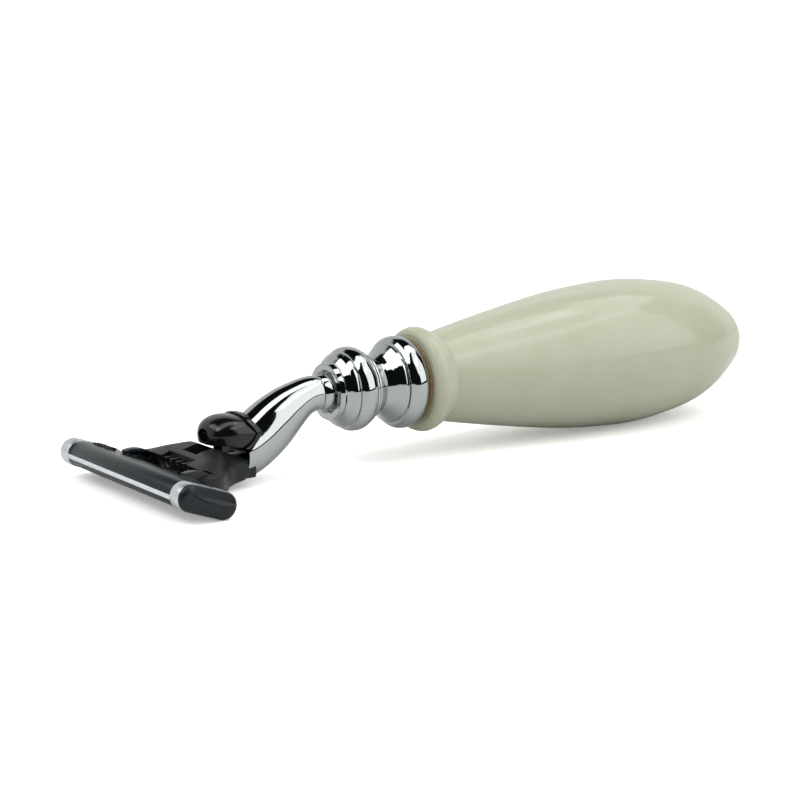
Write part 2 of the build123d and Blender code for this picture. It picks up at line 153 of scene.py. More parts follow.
# ---------------------------------------------------------------- mesh helpers
def smooth_path(points, steps=8):
    """A Catmull-Rom curve through points, with steps spans between each pair."""
    padded = [points[0]] + list(points) + [points[-1]]
    path = []
    for a, b, c, d in zip(padded, padded[1:], padded[2:], padded[3:]):
        for step in range(steps):
            t = step / steps
            path.append(
                tuple(
                    0.5
                    * (
                        2 * q
                        + (r - p) * t
                        + (2 * p - 5 * q + 4 * r - s) * t**2
                        + (3 * q - p - 3 * r + s) * t**3
                    )
                    for p, q, r, s in zip(a, b, c, d)
                )
            )
    path.append(tuple(points[-1]))
    return path


def link_mesh(name, mesh_data):
    """A new object for a bmesh, in the scene."""
    mesh = bpy.data.meshes.new(name)
    mesh_data.to_mesh(mesh)
    mesh_data.free()
    piece = bpy.data.objects.new(name, mesh)
    bpy.context.scene.collection.objects.link(piece)
    return piece


def ring_surface(rings, closed=True, caps=True):
    """A bmesh skin over rings of points, each ring with as many points."""
    skin = bmesh.new()
    rows = [[skin.verts.new(point) for point in ring] for ring in rings]
    count = len(rows[0])
    last = count if closed else count - 1
    for a, b in zip(rows, rows[1:]):
        for i in range(last):
            j = (i + 1) % count
            skin.faces.new((a[i], a[j], b[j], b[i]))
    if caps:
        skin.faces.new(rows[0][::-1])
        skin.faces.new(rows[-1])
    bmesh.ops.recalc_face_normals(skin, faces=skin.faces)
    return skin


def lathe(name, start_x, profile, segments):
    """Turn a closed outline of (distance along, radius) about the handle's axis."""
    turned = bmesh.new()
    rows = []
    for along, radius in profile:
        row = []
        for i in range(segments):
            angle = 2 * math.pi * i / segments
            row.append(
                turned.verts.new(
                    (start_x + along, radius * math.sin(angle), AXIS_Z + radius * math.cos(angle))
                )
            )
        rows.append(row)
    for a, b in zip(rows, rows[1:] + rows[:1]):
        for i in range(segments):
            j = (i + 1) % segments
            turned.faces.new((a[i], a[j], b[j], b[i]))
    bmesh.ops.remove_doubles(turned, verts=turned.verts, dist=1e-7)
    bmesh.ops.recalc_face_normals(turned, faces=turned.faces)
    return link_mesh(name, turned)


def rounded_box(half_width, half_height, corner, steps=8):
    """Points of a rectangle with round corners, anticlockwise."""
    points = []
    for k, (sx, sz) in enumerate(((1, 1), (-1, 1), (-1, -1), (1, -1))):
        for i in range(steps + 1):
            turn = math.pi / 2 * (k + i / steps)
            points.append(
                (
                    sx * (half_width - corner) + corner * math.cos(turn),
                    sz * (half_height - corner) + corner * math.sin(turn),
                )
            )
    return points


def prism(name, outline, low_y, high_y):
    """A solid between two Y planes with an (x, z) outline."""
    rings = [[(x, y, z) for x, z in outline] for y in (low_y, high_y)]
    return link_mesh(name, ring_surface(rings))


def box_mesh(name, low, high):
    """A box between two corners."""
    outline = [(low[0], low[2]), (high[0], low[2]), (high[0], high[2]), (low[0], high[2])]
    return prism(name, outline, low[1], high[1])


def behind_pivot(outline):
    """An (x, z) outline from millimetres behind the pivot line and above the table."""
    return [(PIVOT.x + along * MM, z * MM) for along, z in outline]


def pivot_box(name, along, half_width, heights, middle=0):
    """A box from millimetres behind the pivot line, either side of middle, above the table."""
    return box_mesh(
        name,
        (PIVOT.x + along[0] * MM, (middle - half_width) * MM, heights[0] * MM),
        (PIVOT.x + along[1] * MM, (middle + half_width) * MM, heights[1] * MM),
    )


def pivot_sector(outer, outer_turns, inner, inner_turns):
    """Points (x, z) of a ring sector about the pivot line: radii in mm, turns in degrees."""
    return [
        (
            PIVOT.x + radius * MM * math.cos(math.radians(turn)),
            PIVOT.z + radius * MM * math.sin(math.radians(turn)),
        )
        for radius, turns in ((outer, outer_turns), (inner, inner_turns))
        for turn in turns
    ]


def stop_cutter(clearance, reach, half_width):
    """All that lies ahead of the plane which the cartridge's back meets at full tilt."""
    normal = Vector((math.cos(STOP_LEAN), 0, math.sin(STOP_LEAN)))
    along = Vector((-math.sin(STOP_LEAN), 0, math.cos(STOP_LEAN))) * reach * MM
    ahead = -normal * reach * MM
    foot = PIVOT + normal * clearance * MM
    corners = (foot - along, foot + along, foot + along + ahead, foot - along + ahead)
    outline = [(corner.x, corner.z) for corner in corners]
    return prism("stop", outline, -half_width * MM, half_width * MM)


def apply_modifiers(piece):
    """Replace the piece's mesh by its evaluated one."""
    graph = bpy.context.evaluated_depsgraph_get()
    solid = bpy.data.meshes.new_from_object(piece.evaluated_get(graph))
    piece.modifiers.clear()
    piece.data = solid
    return piece


def combine(piece, tools, operation):
    """Join or cut a piece with other solids, which are used up."""
    for tool in tools:
        step = piece.modifiers.new("combine", "BOOLEAN")
        step.operation = operation
        step.solver = "EXACT"
        step.object = tool
    apply_modifiers(piece)
    for tool in tools:
        bpy.data.objects.remove(tool)
    return piece


def round_edges(piece, width, segments=3, angle=35):
    """Bevel the edges sharper than angle and shade the rest smooth."""
    if width:
        bevel = piece.modifiers.new("bevel", "BEVEL")
        bevel.width = width
        bevel.segments = segments
        bevel.limit_method = "ANGLE"
        bevel.angle_limit = math.radians(angle)
        bevel.harden_normals = False
        bevel.use_clamp_overlap = True
        apply_modifiers(piece)
    shade(piece, angle)
    return piece


def shade(piece, angle=35):
    """Smooth shading, with edges sharper than angle kept crisp."""
    shell = bmesh.new()
    shell.from_mesh(piece.data)
    bmesh.ops.remove_doubles(shell, verts=shell.verts, dist=2e-7)
    bmesh.ops.dissolve_degenerate(shell, edges=shell.edges, dist=2e-7)
    for face in shell.faces:
        face.smooth = True
    for edge in shell.edges:
        edge.smooth = len(edge.link_faces) != 2 or edge.calc_face_angle(0) < math.radians(angle)
    shell.to_mesh(piece.data)
    shell.free()
    return piece


def cad_copy(node, name, width, dissolve=0.5):
    """A copy of a design node's solid with rounded edges, to stand for the node."""
    copy = bmesh.new()
    copy.from_mesh(frame["nodes"][node].data)
    copy.transform(frame["nodes"][node].matrix_world)
    bmesh.ops.remove_doubles(copy, verts=copy.verts, dist=1e-6)
    bmesh.ops.dissolve_limit(
        copy, angle_limit=math.radians(dissolve), verts=copy.verts, edges=copy.edges
    )
    piece = link_mesh(name, copy)
    return round_edges(piece, width, 2)


def dress(piece, body, material, slot, *nodes):
    """Give a piece its material, its body, and the design nodes it stands for."""
    piece.data.materials.clear()
    piece.data.materials.append(material)
    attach(piece, body)
    if nodes:
        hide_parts(*nodes)
    return piece


# ---------------------------------------------------------------- material helpers
def linear(hex_colour):
    """Linear RGBA from an sRGB hex string."""
    channels = [int(hex_colour[i : i + 2], 16) / 255 for i in (0, 2, 4)]
    return (*(c / 12.92 if c <= 0.04045 else ((c + 0.055) / 1.055) ** 2.4 for c in channels), 1.0)


def add(tree, kind, links=None, **settings):
    """Add one node: settings fill attributes or sockets, links join other nodes' outputs."""
    new = tree.nodes.new(kind)
    for key, value in settings.items():
        if hasattr(new, key):
            setattr(new, key, value)
        else:
            new.inputs[key.replace("_", " ")].default_value = value
    for socket, source in (links or {}).items():
        tree.links.new(source, new.inputs[socket])
    return new


def switch(tree, factor, off, on):
    """A colour that goes from off to on with factor; off may be another node's output."""
    mix = add(tree, "ShaderNodeMix", {"Factor": factor}, data_type="RGBA")
    if isinstance(off, tuple):
        mix.inputs[6].default_value = off
    else:
        tree.links.new(off, mix.inputs[6])
    mix.inputs[7].default_value = on
    return mix.outputs[2]


def start_material(name, colour, metallic=0.0, roughness=0.5, **sockets):
    """A Principled material and its shader."""
    material = bpy.data.materials.new(name)
    material.use_nodes = True
    shader = material.node_tree.nodes["Principled BSDF"]
    shader.inputs["Base Color"].default_value = linear(colour)
    shader.inputs["Metallic"].default_value = metallic
    shader.inputs["Roughness"].default_value = roughness
    for key, value in sockets.items():
        shader.inputs[key.replace("_", " ")].default_value = value
    return material, material.node_tree, shader


def mottle(tree, shader, dark, light, size_mm, detail=3.0):
    """Slight colour variation between two sRGB colours, size_mm across."""
    place = add(tree, "ShaderNodeTexCoord")
    noise = add(
        tree,
        "ShaderNodeTexNoise",
        {"Vector": place.outputs["Object"]},
        Scale=1 / (size_mm * MM),
        Detail=detail,
    )
    ramp = add(tree, "ShaderNodeValToRGB", {"Fac": noise.outputs["Fac"]})
    ramp.color_ramp.elements[0].position = 0.3
    ramp.color_ramp.elements[1].position = 0.7
    ramp.color_ramp.elements[0].color = linear(dark)
    ramp.color_ramp.elements[1].color = linear(light)
    tree.links.new(ramp.outputs["Color"], shader.inputs["Base Color"])


def grain(tree, shader, size_mm, depth_mm, stretch=(1, 1, 1), strength=0.3, detail=2.0):
    """Surface grain as a bump, size_mm across and depth_mm deep."""
    place = add(tree, "ShaderNodeTexCoord")
    mapping = add(
        tree, "ShaderNodeMapping", {"Vector": place.outputs["Object"]}, Scale=stretch
    )
    noise = add(
        tree,
        "ShaderNodeTexNoise",
        {"Vector": mapping.outputs["Vector"]},
        Scale=1 / (size_mm * MM),
        Detail=detail,
    )
    bump = add(
        tree,
        "ShaderNodeBump",
        {"Height": noise.outputs["Fac"]},
        Strength=strength,
        Distance=depth_mm * MM,
    )
    tree.links.new(bump.outputs["Normal"], shader.inputs["Normal"])
    return noise


def wear(tree, shader, source, low, high):
    """Roughness that follows a texture between two values."""
    spread = add(
        tree, "ShaderNodeMapRange", {"Value": source.outputs["Fac"]}, To_Min=low, To_Max=high
    )
    tree.links.new(spread.outputs["Result"], shader.inputs["Roughness"])


def cast_resin(colour):
    """Polyester resin cast in a mould and buffed: glassy skin over a faintly cloudy cream body."""
    material, tree, shader = start_material(
        "polished_ivory_resin",
        colour,
        roughness=0.09,
        IOR=1.55,
        Specular_IOR_Level=0.22,
        Subsurface_Weight=0.12,
        Subsurface_Radius=(1.0, 0.8, 0.5),
        Subsurface_Scale=1.5 * MM,
    )
    mottle(tree, shader, "9DA08B", "A2A492", 9.0)
    noise = grain(tree, shader, 6.0, 0.02, strength=0.05)
    wear(tree, shader, noise, 0.07, 0.12)
    return material


def chrome_plate(colour):
    """Bright nickel-chrome plate on turned brass: a mirror with the faintest polishing haze."""
    material, tree, shader = start_material(
        "polished_chrome_plate", colour, metallic=1.0, roughness=0.05
    )
    place = add(tree, "ShaderNodeTexCoord")
    haze = add(  # patches 4 mm across
        tree,
        "ShaderNodeTexNoise",
        {"Vector": place.outputs["Object"]},
        Scale=1 / (4 * MM),
        Detail=3.0,
    )
    wear(tree, shader, haze, 0.02, 0.07)
    return material


def turned_brass(colour):
    """Free-cutting brass as it leaves the lathe, with fine rings."""
    material, tree, shader = start_material("turned_brass", colour, metallic=1.0, roughness=0.3)
    grain(tree, shader, 0.4, 0.02, stretch=(8, 1, 1))
    return material


def drawn_steel(colour):
    """Cold-drawn steel, grey and slightly streaked."""
    material, tree, shader = start_material("drawn_steel", colour, metallic=1.0, roughness=0.32)
    noise = grain(tree, shader, 0.5, 0.01, stretch=(1, 6, 6))
    wear(tree, shader, noise, 0.25, 0.4)
    return material


def ground_blade_steel(colour):
    """Stainless razor strip, ground along the edge: bright with streaks along the blade."""
    material, tree, shader = start_material(
        "ground_blade_steel", colour, metallic=1.0, roughness=0.18
    )
    noise = grain(tree, shader, 0.3, 0.01, stretch=(6, 0.3, 6))
    wear(tree, shader, noise, 0.14, 0.28)
    return material


def rolled_clip_metal(colour):
    """Soft bright aluminium strip, rolled and bent round the cartridge: pale with a satin rub."""
    material, tree, shader = start_material(
        "rolled_aluminium_strip", colour, metallic=1.0, roughness=0.3
    )
    noise = grain(tree, shader, 0.6, 0.02, stretch=(1, 5, 1), strength=0.4)
    wear(tree, shader, noise, 0.22, 0.42)
    return material


def glossy_abs(colour):
    """ABS moulded against a polished steel face: deep black with a soft sheen of handling."""
    material, tree, shader = start_material(
        "polished_moulded_abs", colour, roughness=0.16, IOR=1.52, Specular_IOR_Level=0.4
    )
    mottle(tree, shader, colour, "0C0E10", 3.0)
    noise = grain(tree, shader, 1.6, 0.03, strength=0.12)
    wear(tree, shader, noise, 0.1, 0.2)
    return material


def ribbed_abs(colour):
    """ABS from a milled mould: fine cutter lines run fore and aft under a satin skin."""
    material, tree, shader = start_material(
        "milled_mould_abs", colour, roughness=0.42, IOR=1.5, Specular_IOR_Level=0.3
    )
    mottle(tree, shader, colour, "17191C", 2.0)
    place = add(tree, "ShaderNodeTexCoord")
    lines = add(  # 0.35 mm apart
        tree,
        "ShaderNodeTexWave",
        {"Vector": place.outputs["Object"]},
        bands_direction="Y",
        Scale=math.tau / 20 / (0.35 * MM),
        Distortion=1.2,
        Detail=2.0,
        Detail_Scale=2.0,
    )
    bump = add(
        tree,
        "ShaderNodeBump",
        {"Height": lines.outputs["Fac"]},
        Strength=0.35,
        Distance=0.03 * MM,
    )
    tree.links.new(bump.outputs["Normal"], shader.inputs["Normal"])
    wear(tree, shader, lines, 0.3, 0.46)
    return material


def satin_polystyrene(colour):
    """Cartridge plastic from a polished mould: near-black, close sheen, faint flow marks."""
    material, tree, shader = start_material(
        "moulded_polystyrene", colour, roughness=0.3, IOR=1.5, Specular_IOR_Level=0.28
    )
    mottle(tree, shader, colour, "171C21", 1.5)
    noise = grain(tree, shader, 0.5, 0.006, strength=0.25)
    wear(tree, shader, noise, 0.24, 0.36)
    return material


def soft_elastomer(colour):
    """Thermoplastic elastomer of the guard fins: dull and slightly dusty."""
    material, tree, shader = start_material("moulded_elastomer", colour, roughness=0.75, IOR=1.48)
    noise = grain(tree, shader, 0.3, 0.02, strength=0.4)
    wear(tree, shader, noise, 0.65, 0.85)
    return material


def shaving_strip(colour):
    """Water-soluble polymer strip: chalky white with a waxy, slightly granular face."""
    material, tree, shader = start_material(
        "lubricating_polymer",
        colour,
        roughness=0.5,
        IOR=1.47,
        Subsurface_Weight=0.2,
        Subsurface_Scale=0.6 * MM,
    )
    mottle(tree, shader, "BCC4CA", "CDD3D7", 0.8)
    noise = grain(tree, shader, 0.4, 0.01, strength=0.2)
    wear(tree, shader, noise, 0.35, 0.5)
    return material


def amber_fibre(colour):
    """Vulcanised fibre washer: dense amber brown with a dull cut edge."""
    material, tree, shader = start_material("vulcanised_fibre", colour, roughness=0.55)
    mottle(tree, shader, "6B5430", "8A7145", 0.6)
    grain(tree, shader, 0.2, 0.02)
    return material


# ---------------------------------------------------------------- pieces
STUD_HOLE = 2.2 * MM  # radius of the hole that the stud passes through


class RAZOR_OT_handle(Operator):
    """Cast the resin handle"""

    bl_idname = "razor.handle"
    bl_label = "Handle"

    def execute(self, context):
        settings = context.scene.razor_handle
        length = handle_high[0] - HANDLE_X
        belly = (handle_high[2] - handle_low[2]) / 2
        lip_end = settings.lip_length
        body = length - lip_end
        front = [(0, STUD_HOLE), (0, settings.lip_radius - 1.15 * MM)]
        lip = [
            (0, settings.lip_radius - 1.15 * MM),
            (0.5 * MM, settings.lip_radius - 0.42 * MM),
            (1.8 * MM, settings.lip_radius),
            (3.35 * MM, settings.lip_radius - 0.5 * MM),
            (lip_end, settings.valley_radius),
        ]
        # share of the body's length against share of the belly's radius
        swell = [
            (0.0, settings.valley_radius / belly),
            (0.099, 0.689),
            (0.265, 0.8445),
            (0.398, 0.946),
            (0.521, 0.993),
            (0.58, 1.0),
            (0.657, 0.975),
            (0.769, 0.882),
            (0.847, 0.745),
            (0.9235, 0.515),
            (0.963, 0.345),
            (0.99, 0.16),
            (1.0, 0.0),
        ]
        curve = smooth_path([(lip_end + a * body, max(b, 1e-5) * belly) for a, b in swell], 14)
        profile = front + smooth_path(lip, 10)[1:-1] + curve
        core = [(length - 1 * MM, 0), (0, 0)]
        handle = lathe("resin_handle", HANDLE_X, profile + core, settings.segments)
        shade(handle, 28)
        dress(handle, "handle_body", cast_resin(settings.resin), "ivory_resin", "handle")
        return {"FINISHED"}


class RAZOR_OT_collars(Operator):
    """Turn the two chrome collars and the washer behind them"""

    bl_idname = "razor.collars"
    bl_label = "Collars"

    def execute(self, context):
        settings = context.scene.razor_chrome
        chrome = chrome_plate(settings.plate)
        # (distance along, radius) in millimetres; each list is one smooth run
        front_runs = [
            [(0.85, 3.35), (0.0, 3.95)],
            [(0.0, 4.98), (0.95, 5.05)],
            [(1.05, 5.3), (1.5, 5.75), (2.0, 6.25), (2.6, 6.62)],
            [(2.66, 6.42), (3.15, 6.5)],
            [(3.22, 6.85), (3.9, 7.3), (4.7, 7.45), (5.5, 7.4), (6.2, 7.15), (6.55, 6.95)],
            [(6.6, 6.62), (6.95, 6.64), (7.3, 6.5), (7.5, 6.25)],
            [(7.55, 6.0), (7.9, 6.02), (8.2, 5.88), (8.4, 5.6)],
            [(8.45, 5.4), (8.7, 5.36), (9.2, 5.02), (9.9, 4.8)],
            [(9.9, 2.1), (2.05, 2.1)],
            [(2.05, 3.25), (0.85, 3.25)],
        ]
        rear_runs = [
            [(9.9, 2.1), (9.9, 4.8)],
            [(10.3, 4.95), (11.2, 5.65), (11.9, 6.4), (12.5, 7.0)],
            [(12.56, 6.8), (13.05, 6.92)],
            [(13.12, 7.4), (13.8, 8.0), (14.5, 8.22), (15.2, 8.27), (16.1, 8.1)]
            + [(16.8, 7.72), (17.15, 7.4)],
            [(17.3, 7.15), (17.3, 2.1)],
        ]
        for name, node, runs in (
            ("bead_collar", "front_collar", front_runs),
            ("bell_collar", "rear_collar", rear_runs),
        ):
            profile = []
            for run in runs:
                spans = smooth_path(run, 14) if len(run) > 2 else run
                profile += [(along * MM, radius * MM) for along, radius in spans]
            collar = lathe(name, COLLAR_X, profile, settings.segments)
            round_edges(collar, settings.edge, 2, 32)
            dress(collar, "handle_body", chrome, "chrome", node)
        gauge, radius, edge = 0.5 * MM, 7.45 * MM, 0.12 * MM
        washer_profile = [
            (0, STUD_HOLE),
            (0, radius - edge),
            (edge, radius),
            (gauge - edge, radius),
            (gauge, radius - edge),
            (gauge, STUD_HOLE),
        ]
        washer = lathe("fibre_washer", WASHER_X, washer_profile, settings.segments)
        shade(washer, 50)
        dress(washer, "handle_body", amber_fibre("7A6238"), "seal_amber", "seal_washer")
        return {"FINISHED"}


NECK_START = 14.3 * MM  # behind the pivot line
NECK_GAP = 2.07 * MM  # tenon seen between the neck and the collar
NECK_LOW = 5.6 * MM  # middle of the neck's front end
NECK_ARCH = 0.55 * MM  # lift of its middle above a smooth step
# the nose that the yoke slides on, in millimetres
NOSE_HALF_WIDTH = 4.4
NOSE_HALF_HEIGHT = 1.75
NOSE_MIDDLE = 3.25
NOSE_CORNER = 0.8
NOSE_LENGTH = 15.8
SLEEVE_GAP = 0.1
# (share of the way back, half width, half height) in millimetres
NECK_STATIONS = [
    (0.0, 4.9, 5.1),
    (0.25, 4.75, 4.95),
    (0.45, 4.4, 4.75),
    (0.63, 3.9, 4.15),
    (0.81, 3.4, 3.4),
    (1.0, 3.15, 3.15),
]


class RAZOR_OT_neck(Operator):
    """Cast and plate the swan neck"""

    bl_idname = "razor.neck"
    bl_label = "Neck"

    def execute(self, context):
        chrome = bpy.data.materials["polished_chrome_plate"]
        end_x = COLLAR_X - NECK_GAP
        start_x = PIVOT.x + NECK_START
        rise = AXIS_Z - NECK_LOW
        run = end_x - start_x
        segments = 160
        rings = []
        rounding = [(1.02, 3.02, 3.02), (1.026, 2.8, 2.8)]
        for share, half_width, half_height in smooth_path(NECK_STATIONS, 18) + rounding:
            on = min(1.0, max(0.0, share))
            lift = NECK_ARCH * math.sin(math.pi * on)
            height = NECK_LOW + rise * (3 * on**2 - 2 * on**3) + lift
            centre = Vector((start_x + run * share, 0, height))
            slope = math.atan2(rise * 6 * on * (1 - on), run)
            up = Vector((-math.sin(slope), 0, math.cos(slope)))
            ring = []
            for i in range(segments):
                turn = 2 * math.pi * i / segments
                side = Vector((0, half_width * MM * math.sin(turn), 0))
                ring.append(centre + side + up * half_height * MM * math.cos(turn))
            rings.append(ring)
        neck = link_mesh("swan_neck", ring_surface(rings))
        section = rounded_box(NOSE_HALF_WIDTH, NOSE_HALF_HEIGHT, NOSE_CORNER, 6)
        nose_rings = [
            [(PIVOT.x + x * MM, y * MM, (NOSE_MIDDLE + z) * MM) for y, z in section]
            for x in (0, NOSE_LENGTH)
        ]
        nose = link_mesh("nose", ring_surface(nose_rings))
        tenon_profile = [(-3.2, 0), (-3.2, 2.85), (-1.95, 2.85), (-1.85, 3.12), (-1.7, 3.2)]
        tenon_profile += [(1.93, 3.2), (1.93, 0)]
        tenon = lathe("tenon", COLLAR_X, [(a * MM, r * MM) for a, r in tenon_profile], segments)
        combine(neck, [tenon], "UNION")
        saddle = [(15.8, 14.5), (15.75, 11.5), (17.05, 9.5), (16.2, 8.0), (14.9, 6.7)]
        saddle += [(13.0, 5.1), (-2.0, 5.1), (-2.0, 14.5)]
        stud_bore = [(-3.3, 0), (-3.3, 2.02), (2.5, 2.02), (2.5, 0)]
        plunger_low, plunger_high = PIVOT.z / MM + 2.3, PIVOT.z / MM + 4.1
        for part in (neck, nose):
            cutters = [
                prism("saddle", behind_pivot(saddle), -8 * MM, 8 * MM),
                stop_cutter(4.75, 9, 9),
                pivot_box("chamber", (-1, 18), 2.1, (plunger_low, plunger_high)),
                pivot_box("slot", (-1, 17.56), 2.1, (4.99, 6.1)),
                pivot_box("spring_bore", (17, 21.97), 1.2, (4.36, 6.74)),
                lathe("stud_bore", COLLAR_X, [(a * MM, r * MM) for a, r in stud_bore], 48),
            ]
            combine(part, cutters, "DIFFERENCE")
        round_edges(nose, 0.08 * MM, 2)
        dress(nose, "handle_body", satin_polystyrene("0B0D0F"), "yoke_black", "neck")
        round_edges(neck, 0.05 * MM, 2, angle=40)
        dress(neck, "handle_body", chrome, "chrome", "neck")
        return {"FINISHED"}


class RAZOR_OT_fixings(Operator):
    """Give the inner metal pieces their finishes"""

    bl_idname = "razor.fixings"
    bl_label = "Fixings"

    def execute(self, context):
        brass = turned_brass("C9A15A")
        steel = drawn_steel("8E9092")
        blade = ground_blade_steel("B8BCC0")
        finishes = {
            "handle_insert": brass,
            "tie_stud": steel,
            "ejector_spring": steel,
            "plunger_spring": steel,
            "ejector_slide": steel,
        }
        for index in (1, 2, 3):
            finishes[f"blade_{index}"] = blade
            finishes[f"blade_support_{index}"] = steel
        for node, material in finishes.items():
            mesh = frame["nodes"][node].data
            mesh.materials.clear()
            mesh.materials.append(material)
        return {"FINISHED"}


class RAZOR_OT_cartridge(Operator):
    """Mould the cartridge and fit its strips and clips"""

    bl_idname = "razor.cartridge"
    bl_label = "Cartridge"

    def execute(self, context):
        settings = context.scene.razor_head
        satin = satin_polystyrene(settings.housing)
        rubber = soft_elastomer("101113")
        polymer = shaving_strip("DCE2E5")
        strip_metal = rolled_clip_metal("CDD2D4")
        for node, name, material, slot, width in (
            ("guard_strip", "guard_fins", rubber, "guard_rubber", 0.04 * MM),
            ("lubricating_strip", "shaving_strip", polymer, "strip_white", 0.08 * MM),
            ("clip_left", "left_clip", strip_metal, "clip_steel", 0.06 * MM),
            ("clip_right", "right_clip", strip_metal, "clip_steel", 0.06 * MM),
        ):
            piece = cad_copy(node, name, width)
            dress(piece, "blade_unit", material, slot, node)
        shell = cad_copy("blade_housing", "cartridge_shell", 0)
        # end caps stand flush with the clips' outer faces
        core_depth, proud = 3.25 * MM, 0.14 * MM
        _, clip_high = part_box("clip_right")
        _, shell_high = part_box("blade_housing")
        for vertex in shell.data.vertices:
            if abs(vertex.co.y) > clip_high[1] - 0.01 * MM:
                local = vertex.co - CARTRIDGE
                depth, out = local.dot(DEPTH_DIR), local.dot(BACK_DIR)
                core = min(core_depth, max(-core_depth, depth))
                swell = DEPTH_DIR * (depth - core) + BACK_DIR * out
                vertex.co += swell * (proud / HALF_THICKNESS)
        # scooped upper half of each end cap, which leaves a ridge along its middle
        for side in SIDES:
            rings = []
            for turn in range(1, 18):
                lean = math.pi * turn / 18
                along, girth = math.cos(lean), math.sin(lean)
                ring = []
                for i in range(48):
                    angle = math.tau * i / 48
                    outward = shell_high[1] + (0.12 + 0.75 * girth * math.sin(angle)) * MM
                    ring.append(
                        CARTRIDGE
                        + DEPTH_DIR * (0.5 + 4.6 * along) * MM
                        + BACK_DIR * (1.25 + 1.35 * girth * math.cos(angle)) * MM
                        + Vector((0, side * outward, 0))
                    )
                rings.append(ring)
            combine(shell, [link_mesh("scoop", ring_surface(rings))], "DIFFERENCE")
        round_edges(shell, 0.08 * MM, 2)
        dress(shell, "blade_unit", satin, "housing_grey", "blade_housing")
        return {"FINISHED"}


# (behind the pivot line, half width, bottom, top at the middle, top at the sides) in millimetres
YOKE_STATIONS = [
    (0.4, 12.45, 0.75, 5.0, 4.6),
    (1.6, 12.6, 0.5, 5.45, 4.9),
    (3.4, 12.55, 0.42, 6.05, 4.9),
    (5.2, 11.7, 0.42, 6.6, 4.8),
    (6.8, 10.0, 0.42, 7.0, 4.8),
    (8.2, 8.2, 0.5, 7.3, 4.9),
    (8.9, 7.3, 0.6, 7.12, 4.9),
    (9.7, 6.4, 0.75, 6.78, 4.75),
    (10.8, 5.7, 0.95, 6.28, 4.6),
    (12.0, 5.4, 1.2, 5.8, 4.4),
    (13.2, 5.3, 1.4, 5.5, 4.2),
    (13.9, 5.25, 1.7, 5.4, 4.0),
]


class RAZOR_OT_yoke(Operator):
    """Mould the yoke that carries the cartridge"""

    bl_idname = "razor.yoke"
    bl_label = "Yoke"

    def execute(self, context):
        settings = context.scene.razor_head
        x = PIVOT.x
        rings = []
        for at, half_width, low, top, shoulder in smooth_path(YOKE_STATIONS, 6):
            ring = []
            flat = half_width * 0.55
            # top from one side to the other, then the underside back
            for i in range(41):
                across = -1 + 2 * i / 40
                y = half_width * math.sin(across * math.pi / 2)
                fall = max(0.0, (abs(y) - flat) / (half_width - flat))
                z = top - (top - shoulder) * fall**1.7
                if i in (0, 40):
                    z = shoulder - 0.5
                ring.append((x + at * MM, y * MM, z * MM))
            for i in range(41):
                across = 1 - 2 * i / 40
                y = half_width * math.sin(across * math.pi / 2)
                edge = max(0.0, (abs(y) / half_width - 0.8) / 0.2)
                ring.append((x + at * MM, y * MM, (low + 1.1 * edge**2) * MM))
            rings.append(ring)
        yoke = link_mesh("yoke_shell", ring_surface(rings))
        section = rounded_box(
            NOSE_HALF_WIDTH + SLEEVE_GAP, NOSE_HALF_HEIGHT + SLEEVE_GAP, NOSE_CORNER, 6
        )
        sleeve = [
            [(x + a * MM, y * MM, (NOSE_MIDDLE + z) * MM) for y, z in section] for a in (-1, 16)
        ]
        cutters = [
            link_mesh("sleeve", ring_surface(sleeve)),
            pivot_box("window", (1.3, 4.1), 4.3, (4.6, 10)),
            pivot_box("notch", (5.36, 16), 2.3, (4, 10)),
        ]
        # rooms for the cartridge's cheeks
        room = pivot_sector(6.4, range(-60, 111, 5), 0.5, range(110, -61, -10))
        for side in SIDES:
            low_y, high_y = sorted((side * 9.4 * MM, side * 11.2 * MM))
            cutters.append(prism("room", room, low_y, high_y))
        combine(yoke, cutters, "DIFFERENCE")
        # ribs across the window
        ribs = [
            pivot_box("rib", (1.0, 4.3), 0.35, (5.12, 5.6), middle)
            for middle in (-2.8, -0.9, 1.2, 3.0)
        ]
        combine(yoke, ribs, "UNION")
        # everything ahead of the arms stays clear of the cartridge's back at full tilt
        combine(yoke, [stop_cutter(4.78, 12, 14)], "DIFFERENCE")
        # the bearing's arms and the keys on them, which run in the cheeks' grooves
        adds = []
        for side in SIDES:
            for name, inner, outer, start, end, y_from, y_to in (
                ("arm", 4.55, 6.7, 28, 60, 8.2, 9.3),
                ("key", 5.0, 5.5, 36, 56, 9.2, 10.1),
            ):
                low_y, high_y = sorted((side * y_from * MM, side * y_to * MM))
                sector = pivot_sector(
                    outer, range(start, end + 1, 2), inner, range(end, start - 1, -2)
                )
                adds.append(prism(name, sector, low_y, high_y))
        combine(yoke, adds, "UNION")
        round_edges(yoke, settings.edge, 2, 40)
        dress(yoke, "yoke", ribbed_abs(settings.yoke), "yoke_black", "yoke")
        plunger = cad_copy("plunger", "push_bar", 0.1 * MM)
        dress(plunger, "plunger", satin_polystyrene("15171A"), "plunger_black", "plunger")
        return {"FINISHED"}


# (behind the pivot line, half width, bottom, top, squareness) in millimetres
BUTTON_STATIONS = [
    (8.05, 0.5, 8.0, 9.3, 2.0),
    (8.12, 1.6, 7.4, 10.1, 2.05),
    (8.4, 2.6, 6.9, 10.8, 2.1),
    (9.1, 3.55, 6.4, 11.5, 2.2),
    (10.3, 4.35, 6.0, 12.05, 2.25),
    (11.8, 4.75, 5.75, 12.3, 2.3),
    (13.2, 4.85, 5.65, 12.2, 2.4),
    (14.8, 4.85, 5.6, 11.95, 2.4),
    (16.9, 4.85, 5.6, 11.6, 2.4),
]


